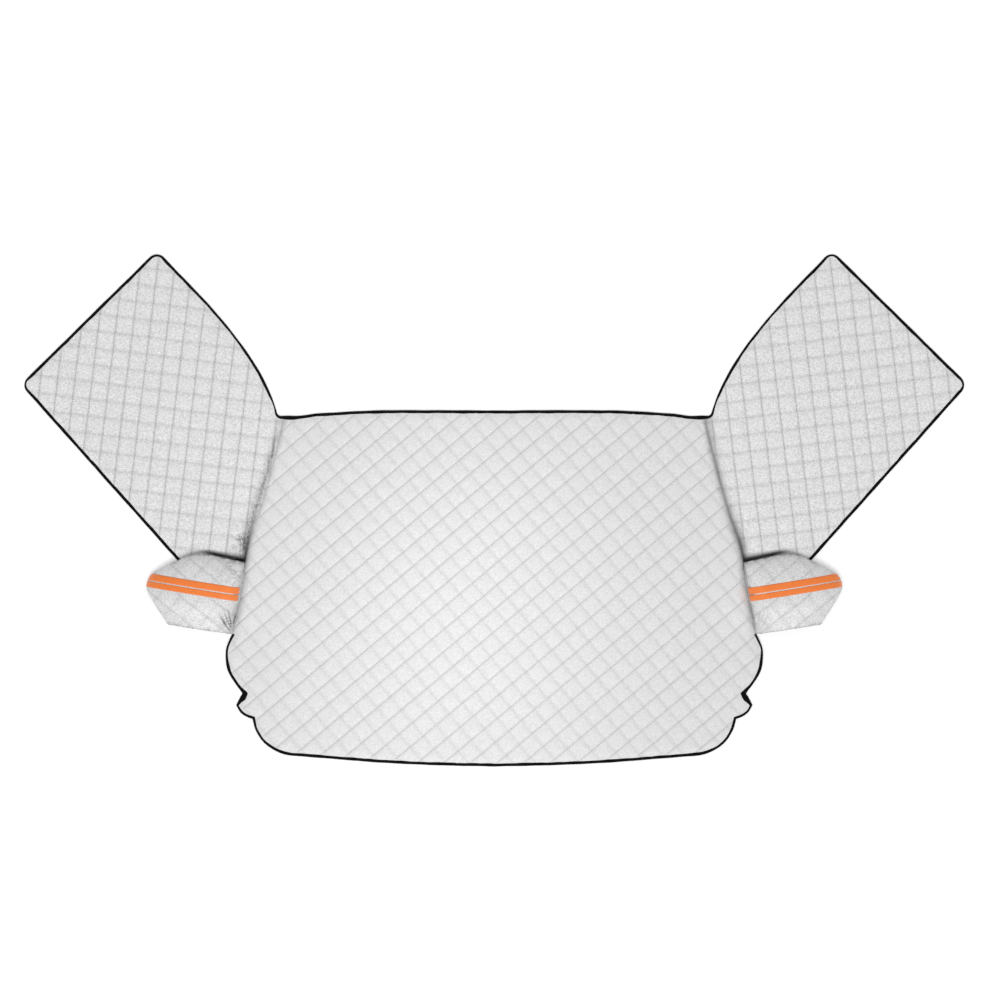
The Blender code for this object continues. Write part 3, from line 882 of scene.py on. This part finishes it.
# Place along the mouth, and how far the top edge above it is drawn in
TOP_DRAW = ((0.0, 0.0002), (0.06, 0.0018), (0.10, 0.0034), (0.13, 0.0022), (0.17, 0.0))
TOP_START = (0.118, 0.150)  # distances from the mouth over which the drawing in sets in
DRAWN_HEIGHT = (0.018, 0.050)
UNDER_DEPTH = 0.0035
UNDER_HEIGHT = 0.0100
BACK_INSET = 0.0022
BACK_INSET_START = (0.80, 1.0)  # shares of the reach from the mouth's middle, as in the next two
BACK_PRESSED = (0.90, 0.99)
BACK_RIM = (0.93, 0.965)
BACK_DIP = 0.0009
COVER_CREASES = (0.15, 0.10)
POUCH_CORNER = (-0.668, -0.152)
# Painted shade in the hollows of the gathers and of the crumples, round the puffed rim and along
# the hem
GATHER_SHADE = 380.0
POUCH_SHADE = 0.50
RIM_SHADE = (0.12, 0.008)
HEM_SHADE = (0.30, 0.0022)
# Painted shade on the back's rim, under the front's overhang
BACK_EDGE_SHADE = 0.75


def cover_measured(points):
    """Distances along the cover's mouth and square to it, from places on the shade."""
    turn = np.array(((math.cos(COVER_TILT), -math.sin(COVER_TILT)),
                     (math.sin(COVER_TILT), math.cos(COVER_TILT))))
    return (np.asarray(points) - SEAM_FOOT) @ turn


def cover_share(measured):
    """How far out from the middle of the mouth each place lies, as a share of the full reach."""
    edge = cover_edge()[::-1] - (COVER_MOUTH / 2, 0)
    rays = np.column_stack((measured[:, 0] - COVER_MOUTH / 2, np.maximum(measured[:, 1], 0)))
    reach = np.interp(np.arctan2(rays[:, 1], rays[:, 0]), np.arctan2(edge[:, 1], edge[:, 0]),
                      np.linalg.norm(edge, axis=1))
    return np.minimum(np.linalg.norm(rays, axis=1) / reach, 1.0)


def cover_dome(measured):
    """Height of the puffed cover above its sewn rim."""
    arch = np.sqrt(1 - cover_share(measured) ** COVER_FULLNESS)
    return COVER_RISE * arch * (
        MOUTH_RISE_SHARE + (1 - MOUTH_RISE_SHARE) * ease(measured[:, 1], 0, MOUTH_DRAW))


def push_out(bm, distances):
    """Move each corner along its own normal."""
    bm.normal_update()
    normals = [vert.normal.copy() for vert in bm.verts]
    for vert, normal, distance in zip(bm.verts, normals, distances):
        vert.co += normal * distance


def lift(verts, heights):
    """Raise each corner by its own height."""
    for vert, height in zip(verts, heights):
        vert.co.z += height


def add_wall(piece, thickness, side):
    """Give a sheet its thickness, on its outer side at 1 and on its inner side at -1."""
    wall = piece.modifiers.new("wall", "SOLIDIFY")
    wall.thickness = thickness
    wall.offset = side


def tuck_under(verts, measured, flat=False):
    """Along its top edge the full front hangs over its seam, so that the seam is drawn in."""
    rays = cover_place(measured) - cover_place((COVER_MOUTH / 2, 0.0))
    rays /= np.maximum(np.linalg.norm(rays, axis=1), 1e-6)[:, None]
    top = ease(measured[:, 1], *TOP_START)
    drawn = np.interp(measured[:, 0], *np.array(TOP_DRAW).T)
    if flat:
        inward = (BACK_INSET + top * (drawn + UNDER_DEPTH)) * ease(
            cover_share(measured), *BACK_INSET_START)
    else:
        dome = cover_dome(measured)
        low = 1 - ease(dome, 0.0, UNDER_HEIGHT)
        inward = top * (drawn * (1 - ease(dome, *DRAWN_HEIGHT)) + UNDER_DEPTH * low)
    for vert, ray, distance in zip(verts, rays, inward):
        vert.co.xy -= Vector(ray) * distance


def cover_front(side_name):
    """The puffed front of a cover as a sheet that gets its wall later, and its cloth's area."""
    bm = bmesh.new()
    hem_steps = round(COVER_MOUTH / MOUTH_STEP)
    hem = [(COVER_MOUTH * (1 - i / hem_steps), 0.0) for i in range(1, hem_steps)]
    outline = cover_place(np.concatenate((cover_edge(), hem)))
    face = bm.faces.new([bm.verts.new((*point, 0)) for point in outline])
    for width in RIM_RINGS:
        bmesh.ops.inset_region(bm, faces=[face], thickness=width, use_even_offset=True)
    cut_quilt(bm, face, COVER_STITCH_ANGLE, COVER_STITCH_SHIFT, STITCHED_CUTS, CREASED_CUTS)
    refine(bm, lambda places: np.linalg.norm(places - SEAM_FOOT, axis=1), *FOOT_REFINED)
    points = corners_of(bm.verts)[:, :2]
    measured = cover_measured(points)
    set_heights(bm.verts, COVER_RIM + cover_dome(measured))
    bmesh.ops.recalc_face_normals(bm, faces=bm.faces)
    if sum(face.normal.z for face in bm.faces) < 0:
        bmesh.ops.reverse_faces(bm, faces=bm.faces)
    along, away = measured[:, 0], measured[:, 1]
    sewn = 1 - ease(cover_share(measured), *COVER_SEWN)
    under_tape = (ease(away, LOWER_TAPE[0] - TAPE_MARGIN, LOWER_TAPE[0])
                  * (1 - ease(away, UPPER_TAPE[1], UPPER_TAPE[1] + TAPE_MARGIN)))
    pattern = puff(points, COVER_STITCH_ANGLE, COVER_STITCH_SHIFT)
    pattern = pattern * (1 - under_tape) + TAPED_PUFF * under_tape
    pushed = COVER_PUFF * PUFF_HEIGHT * pattern * sewn
    scallops = np.sin(along * 2 * math.pi / HEM_PITCH + 0.9 * np.sin(along * 61))
    pushed += bell(away, HEM_WIDTH) * (HEM_BULGE[0] + HEM_BULGE[1] * scallops)
    corner = np.hypot(along, away)
    fan = np.arctan2(away, along + 1e-9)
    gathers = np.sin(fan * 27.0 + 1.3 * np.sin(fan * 9.0 + corner * 40.0))
    gathers *= bell(corner - GATHER_RING[0], GATHER_RING[1]) * ease(fan, *GATHER_FAN)
    pushed += GATHERS[side_name] * gathers * sewn
    fold = (measured - MOUTH_FOLD) @ np.array(MOUTH_FOLD_ACROSS)
    folded = bell(fold, MOUTH_FOLD_WIDTH) * ease(along, *MOUTH_FOLD_REACH)
    pushed -= MOUTH_FOLD_DEPTH * folded * sewn
    push_out(bm, pushed)
    tuck_under(bm.verts, measured)
    placed = placed_on(side_name, points)
    crumples = crumple(placed, POUCH_CORNER)
    lift(bm.verts, settled(placed) + POUCH_CRUMPLE * crumples * sewn)
    cloth_area = sum(face.calc_area() for face in bm.faces)
    piece = finish_piece(f"{side_name}_mirror_cover_front", bm, painted_light_silver,
                         [f"{side_name}_cover_front"], mirrored=side_name == "left", closed=False)
    # Painted shade in the quilting's lines, round the rim, along the hem, in the gathers and
    # crumples, and in the seam's fold
    store_shading(piece, stack_shading(
        crease_shading(points, COVER_STITCH_ANGLE, COVER_STITCH_SHIFT, COVER_CREASES)
        * (1 - under_tape),
        RIM_SHADE[0] * bell(1 - cover_share(measured), RIM_SHADE[1]),
        HEM_SHADE[0] * bell(away, HEM_SHADE[1]),
        GATHER_SHADE * GATHERS[side_name] * np.maximum(-gathers, 0) * (1 - under_tape),
        POUCH_SHADE * np.maximum(-crumples, 0) * (1 - under_tape),
        seam_shading(placed, 1) * (1 - under_tape)))
    add_wall(piece, COVER_CLOTH, -1.0)
    return piece, cloth_area


def cover_back(side_name):
    outline = [Vector(point) for point in cover_place(cover_edge())]
    bm = quilted_cloth(outline, COVER_STITCH_ANGLE, COVER_STITCH_SHIFT, COVER_BACK_THICKNESS)
    for verts, is_front in faces_of(bm, COVER_BACK_THICKNESS):
        points = corners_of(verts)[:, :2]
        measured = cover_measured(points)
        pressed = ease(cover_share(measured), *BACK_PRESSED)
        pattern = puff(points, COVER_STITCH_ANGLE, COVER_STITCH_SHIFT)
        dip = BACK_DIP * (1 - pattern) * (1 - pressed)
        level = COVER_BOTTOM + (COVER_BACK_THICKNESS - dip if is_front else dip)
        set_heights(verts, level + settled(placed_on(side_name, points)))
        tuck_under(verts, measured, flat=True)
    piece = finish_piece(f"{side_name}_mirror_cover_back", bm, painted_light_silver,
                         [f"{side_name}_cover_back"], mirrored=side_name == "left")
    points = on_right(points_of(piece)[:, :2])
    rim = ease(cover_share(cover_measured(points)), *BACK_RIM)
    # Painted shade in the quilting's lines, and on the rim under the front's overhang
    store_shading(piece, stack_shading(
        crease_shading(points, COVER_STITCH_ANGLE, COVER_STITCH_SHIFT, MAIN_CREASES),
        BACK_EDGE_SHADE * rim))
    return piece


cover_fronts = {side_name: cover_front(side_name) for side_name in ("left", "right")}
cover_backs = {side_name: cover_back(side_name) for side_name in ("left", "right")}

# Safety tapes: two orange ribbons side by side across each mirror cover, sewn down along their
# edges and caught in the seam round the cover.
TAPE_THICKNESS = 0.0007
TAPE_LIFT = 0.0010
TAPE_CLEAR = 0.0002
TAPE_SHORT = {"left": 0.0025, "right": 0.0004}  # how far it ends short of the cover's inner edge
TAPE_ALONG = 72
TAPE_ACROSS = 6
ORANGES = ((0.93, 0.205, 0.028, 1), (1.0, 0.255, 0.045, 1))
ORANGE_RIB = 0.0011


def add_ribs(tree, pitch):
    """Ribs across a tape, from each place's distance along it."""
    along = add_node(tree, "ShaderNodeAttribute", {"attribute_name": "tape_along"})
    turns = add_math(tree, "MULTIPLY", along.outputs["Fac"], 2 * math.pi / pitch)
    return add_math(tree, "SINE", turns)


def make_orange():
    material, tree, shader = make_material("orange_ribbon", 0.42)
    _, grain = add_speckle(tree)
    set_inputs(tree, shader, {
        "Base Color": add_blend(tree, grain, *ORANGES),
        "Normal": add_bump(tree, 0.4, 0.0001, add_ribs(tree, ORANGE_RIB))})
    return material


orange = make_orange()


def tape_ends(away):
    """Where a level line across the cover meets its sewn edge on both sides."""
    edge = cover_edge()
    rows = [(start, end) for start, end in zip(edge, edge[1:])
            if (start[1] - away) * (end[1] - away) <= 0 and start[1] != end[1]]
    meets = [start[0] + (end[0] - start[0]) * (away - start[1]) / (end[1] - start[1])
             for start, end in rows]
    return min(meets), max(meets)


def cover_tape(side_name, name, band):
    """A ribbon that follows the cover's dome from seam to seam."""
    bm = bmesh.new()
    bmesh.ops.create_grid(bm, x_segments=TAPE_ALONG, y_segments=TAPE_ACROSS, size=0.5)
    measured = []
    for vert in bm.verts:
        away = band[0] + (band[1] - band[0]) * (vert.co.y + 0.5)
        near, far = tape_ends(away)
        near += TAPE_SHORT[side_name]
        run = near + (far - near) * (1 - math.cos(math.pi * (vert.co.x + 0.5))) / 2
        measured.append((run, away))
    measured = np.array(measured)
    points = cover_place(measured)
    heights = np.maximum(COVER_RIM + cover_dome(measured), COVER_RIM + TAPE_LIFT)
    for vert, point, height in zip(bm.verts, points, heights):
        vert.co = (*point, height)
    sewn = 1 - ease(cover_share(measured), *COVER_SEWN)
    push_out(bm, TAPED_PUFF * PUFF_HEIGHT * sewn + TAPE_CLEAR)
    lift(bm.verts, settled(placed_on(side_name, points)))
    piece = finish_piece(f"{side_name}_{name}_ribbon", bm, orange,
                         [f"{side_name}_{name}_tape"], mirrored=side_name == "left", closed=False)
    layer = piece.data.attributes.new("tape_along", "FLOAT", "POINT")
    layer.data.foreach_set("value", measured[:, 0].astype(np.float32))
    add_wall(piece, TAPE_THICKNESS, 1.0)
    return piece


for side_name, (front, cloth_area) in cover_fronts.items():
    ribbons = [cover_tape(side_name, name, band)
               for name, band in (("lower", LOWER_TAPE), ("upper", UPPER_TAPE))]

# Binding: black woven tape folded over the free edges and sewn through both layers. One length
# runs round both wings and over the top of the panel, another round the panel's lower edge.
BINDING_SETBACK = 0.0030
BINDING_LAP = 0.0068
INNER_CORNER_RADIUS = 0.012
CORNER_TURN = math.radians(20)
CORNER_CLEAR = 0.0085
BINDING_WANDER = 0.0002
BLACKS = ((0.0015, 0.0015, 0.0015, 1), (0.0055, 0.0055, 0.0055, 1))
BLACK_RIB = 0.0012
BLACK_FIBRE_SCALE = 1400.0
# Round the folded tape: shares of the lap over the cloth or, below 0.1, distances past the edge
# in metres, each with a height
BINDING_SECTION = (
    (1.00, 0.0002), (0.25, 0.0000), (0.00, 0.0003), (-0.0008, 0.0011), (-0.0010, 0.0019),
    (-0.0008, 0.0027), (0.00, 0.0035), (0.25, 0.0038), (0.85, 0.0038), (0.97, 0.0036),
    (1.00, 0.0033), (0.97, 0.0030), (-0.0002, 0.0030), (-0.0003, 0.0010), (1.00, 0.0008))


def make_black():
    material, tree, shader = make_material("black_woven_tape", 0.85)
    _, grain = add_speckle(tree, BLACK_FIBRE_SCALE)
    set_inputs(tree, shader, {
        "Base Color": add_blend(tree, grain, *BLACKS), "Specular IOR Level": 0.09,
        "Normal": add_bump(tree, 0.5, 0.00015, add_ribs(tree, BLACK_RIB))})
    return material


black = make_black()


def clear_corners(path):
    """Drop the points that crowd a sharp corner, so that the folded tape has room to turn."""
    turns = [0.0] + [abs((path[i] - path[i - 1]).angle_signed(path[i + 1] - path[i]))
                     for i in range(1, len(path) - 1)] + [0.0]
    sharp = [i for i, turn in enumerate(turns) if turn > CORNER_TURN]
    return [point for i, point in enumerate(path)
            if i in sharp or i in (0, len(path) - 1)
            or all((point - path[corner]).length > CORNER_CLEAR for corner in sharp)]


def offset_path(path, distances):
    """Path moved sideways, to the left of its direction by each point's own distance."""
    moved = []
    for i, (point, distance) in enumerate(zip(path, distances)):
        before = (point - path[max(i - 1, 0)]).normalized()
        after = (path[min(i + 1, len(path) - 1)] - point).normalized()
        along = (before + after).normalized()
        stretch = 1 / along.dot(after if after.length else before)
        moved.append(point + Vector((-along.y, along.x)) * distance * stretch)
    return moved


def round_inner_corner(path):
    """Turn the corner between the wing and the panel's top edge in a small curve."""
    inner = Vector((WING_INNER_HALF_WIDTH, TOP_CORNER_Y))
    corner = min(path, key=lambda point: (point - inner).length)
    index = path.index(corner)
    before, after = path[index - 3], path[index + 3]
    arc = rounded_corner(corner, (before - corner).normalized(), (after - corner).normalized(),
                         INNER_CORNER_RADIUS)
    setback = (arc[0] - corner).length
    kept = [[point for point in part if (point - corner).length > setback * 1.2]
            for part in (path[:index], path[index + 1:])]
    return kept[0] + arc + kept[1]


def binding(name, path, fuller, node):
    """Fold the tape over a path.

    Each row of fuller has a place, its reach, and how much the tape widens there outwards and
    inwards.
    """
    steps = [0.0] + [(b - a).length for a, b in zip(path, path[1:])]
    along = np.cumsum(steps)
    places = np.array([tuple(point) for point in path])
    extra = BINDING_WANDER * (np.sin(along * 83.0) + np.sin(along * 31.0 + 1.0))
    lap = BINDING_LAP * (1 + 0.05 * np.sin(along * 57.0) + 0.04 * np.sin(along * 143.0 + 2.0))
    for place, reach, outward, inward in fuller:
        near = np.linalg.norm(on_right(places) - place, axis=1)
        extra += outward * bell(near, reach)
        lap += inward * bell(near, reach)
    rows = []
    for across, height in BINDING_SECTION:
        lying = across > 0.1
        rows.append(offset_path(path, across * lap if lying else across - extra))
    count, around = len(path) - 1, len(BINDING_SECTION)
    bm = bmesh.new()
    layer = bm.verts.layers.float.new("tape_along")
    bmesh.ops.create_grid(bm, x_segments=count, y_segments=around, size=0.5)
    for vert in bm.verts:
        i = round((vert.co.x + 0.5) * count)
        j = round((vert.co.y + 0.5) * around) % around
        vert.co = (*rows[j][i], BINDING_SECTION[j][1])
        vert[layer] = along[i]
    points = corners_of(bm.verts)[:, :2]
    lift(bm.verts, settled(points, on_main=node == "lower_binding"))
    bmesh.ops.remove_doubles(bm, verts=bm.verts, dist=1e-6)
    bmesh.ops.holes_fill(bm, edges=[edge for edge in bm.edges if edge.is_boundary])
    return finish_piece(name, bm, black, [node])


wing_free = wing_edge()
wing_free[-1] += (wing_free[-2] - wing_free[-1]).normalized() * BINDING_SETBACK
upper_half = round_inner_corner(list(reversed(wing_free)) + list(reversed(top_edge()))[1:])
upper_path = clear_corners(upper_half + flipped(upper_half)[1:])
lower_half = list(reversed(lower_edge()))
lower_path = clear_corners(flipped(lower_half)[:-1] + lower_half)
binding("wings_and_top_binding", upper_path, [
    ((0.532, 0.2428), 0.022, 0.0008, 0.0022), ((0.561, 0.272), 0.034, -0.0004, -0.0032),
    ((0.690, 0.480), 0.15, -0.0003, -0.0018), ((0.8660, 0.6560), 0.020, 0.0, -0.0024),
    ((1.2040, 0.3250), 0.020, 0.0, -0.0024)],
    "upper_binding")
binding("lower_edge_binding", lower_path, [
    ((0.6850, -0.3450), 0.032, 0.0, -0.0030), ((0.6864, -0.3990), 0.014, 0.0, 0.0008),
    ((0.6680, -0.4400), 0.026, 0.0, -0.0008), ((0.6450, -0.4740), 0.012, 0.0040, 0.0),
    ((0.6475, -0.4790), 0.008, 0.0, 0.0042), ((0.6570, -0.4900), 0.012, 0.0022, 0.0),
    ((0.6620, -0.5020), 0.014, 0.0, -0.0028), ((0.6400, -0.5240), 0.020, 0.0, -0.0016),
    ((0.6000, -0.5800), 0.050, 0.0, -0.0014)],
    "lower_binding")

# Floor, lamps and camera: a wide white floor that the camera sees as pure white, one soft key light
# from the lower side, a low lamp over the panel's middle and an even sky. The camera hangs above.
IMAGE_CENTRE = (0.0018, 0.0411)
FIELD_WIDTH = 2.5443
CAMERA_HEIGHT = 9.0
SENSOR = 36.0
KEY_FROM = (-0.05, -0.47, 0.90)
KEY_STRENGTH = 1.17
KEY_SPREAD = math.radians(30)
SKY_STRENGTH = 0.590
TOP_LAMP_PLACE = (-0.10, -0.32, 0.62)
TOP_LAMP_SIZE = (0.38, 0.80)
TOP_LAMP_POWER = 1.05
FLOOR_HALF_WIDTH = 12.0
FLOOR_DROP = 0.0002
FLOOR_GREY = 0.85
FLOOR_GLOW = 0.30

floor_bm = bmesh.new()
bmesh.ops.create_grid(floor_bm, x_segments=1, y_segments=1, size=FLOOR_HALF_WIDTH)
floor_mesh = bpy.data.meshes.new("floor")
floor_bm.to_mesh(floor_mesh)
floor_bm.free()
floor = bpy.data.objects.new("floor", floor_mesh)
floor.location.z = -FLOOR_DROP
bpy.context.scene.collection.objects.link(floor)
floor_paint, floor_tree, floor_shader = make_material("floor_paint", 0.9)
paths = floor_tree.nodes.new("ShaderNodeLightPath")
seen = paths.outputs["Is Camera Ray"]
for ray in ("Is Glossy Ray", "Is Transmission Ray"):
    seen = add_math(floor_tree, "MAXIMUM", seen, paths.outputs[ray])
set_inputs(floor_tree, floor_shader, {
    "Base Color": (FLOOR_GREY, FLOOR_GREY, FLOOR_GREY, 1), "Specular IOR Level": 0.0,
    "Emission Color": (1, 1, 1, 1),
    "Emission Strength": add_math(floor_tree, "MULTIPLY", seen, FLOOR_GLOW)})
floor.data.materials.append(floor_paint)

world = bpy.data.worlds.new("studio")
bpy.context.scene.world = world
world.use_nodes = True
sky = world.node_tree.nodes["Background"]
set_inputs(world.node_tree, sky, {"Color": (1, 1, 1, 1), "Strength": SKY_STRENGTH})

sun = bpy.data.objects.new("key_lamp", bpy.data.lights.new("key_lamp", "SUN"))
sun.data.energy = KEY_STRENGTH
sun.data.angle = KEY_SPREAD
sun.rotation_euler = (-Vector(KEY_FROM)).to_track_quat("-Z", "Y").to_euler()
bpy.context.scene.collection.objects.link(sun)

lamp = bpy.data.objects.new("top_lamp", bpy.data.lights.new("top_lamp", "AREA"))
lamp.data.shape = "RECTANGLE"
lamp.data.size, lamp.data.size_y = TOP_LAMP_SIZE
lamp.data.energy = TOP_LAMP_POWER
lamp.location = TOP_LAMP_PLACE
lamp.visible_camera = False
bpy.context.scene.collection.objects.link(lamp)

camera = bpy.data.objects.new("camera", bpy.data.cameras.new("camera"))
camera.data.sensor_width = SENSOR
camera.data.lens = SENSOR * CAMERA_HEIGHT / FIELD_WIDTH
camera.data.clip_end = 60.0
camera.location = (*IMAGE_CENTRE, CAMERA_HEIGHT)
bpy.context.scene.collection.objects.link(camera)
bpy.context.scene.camera = camera

bpy.context.scene.view_settings.view_transform = "Standard"
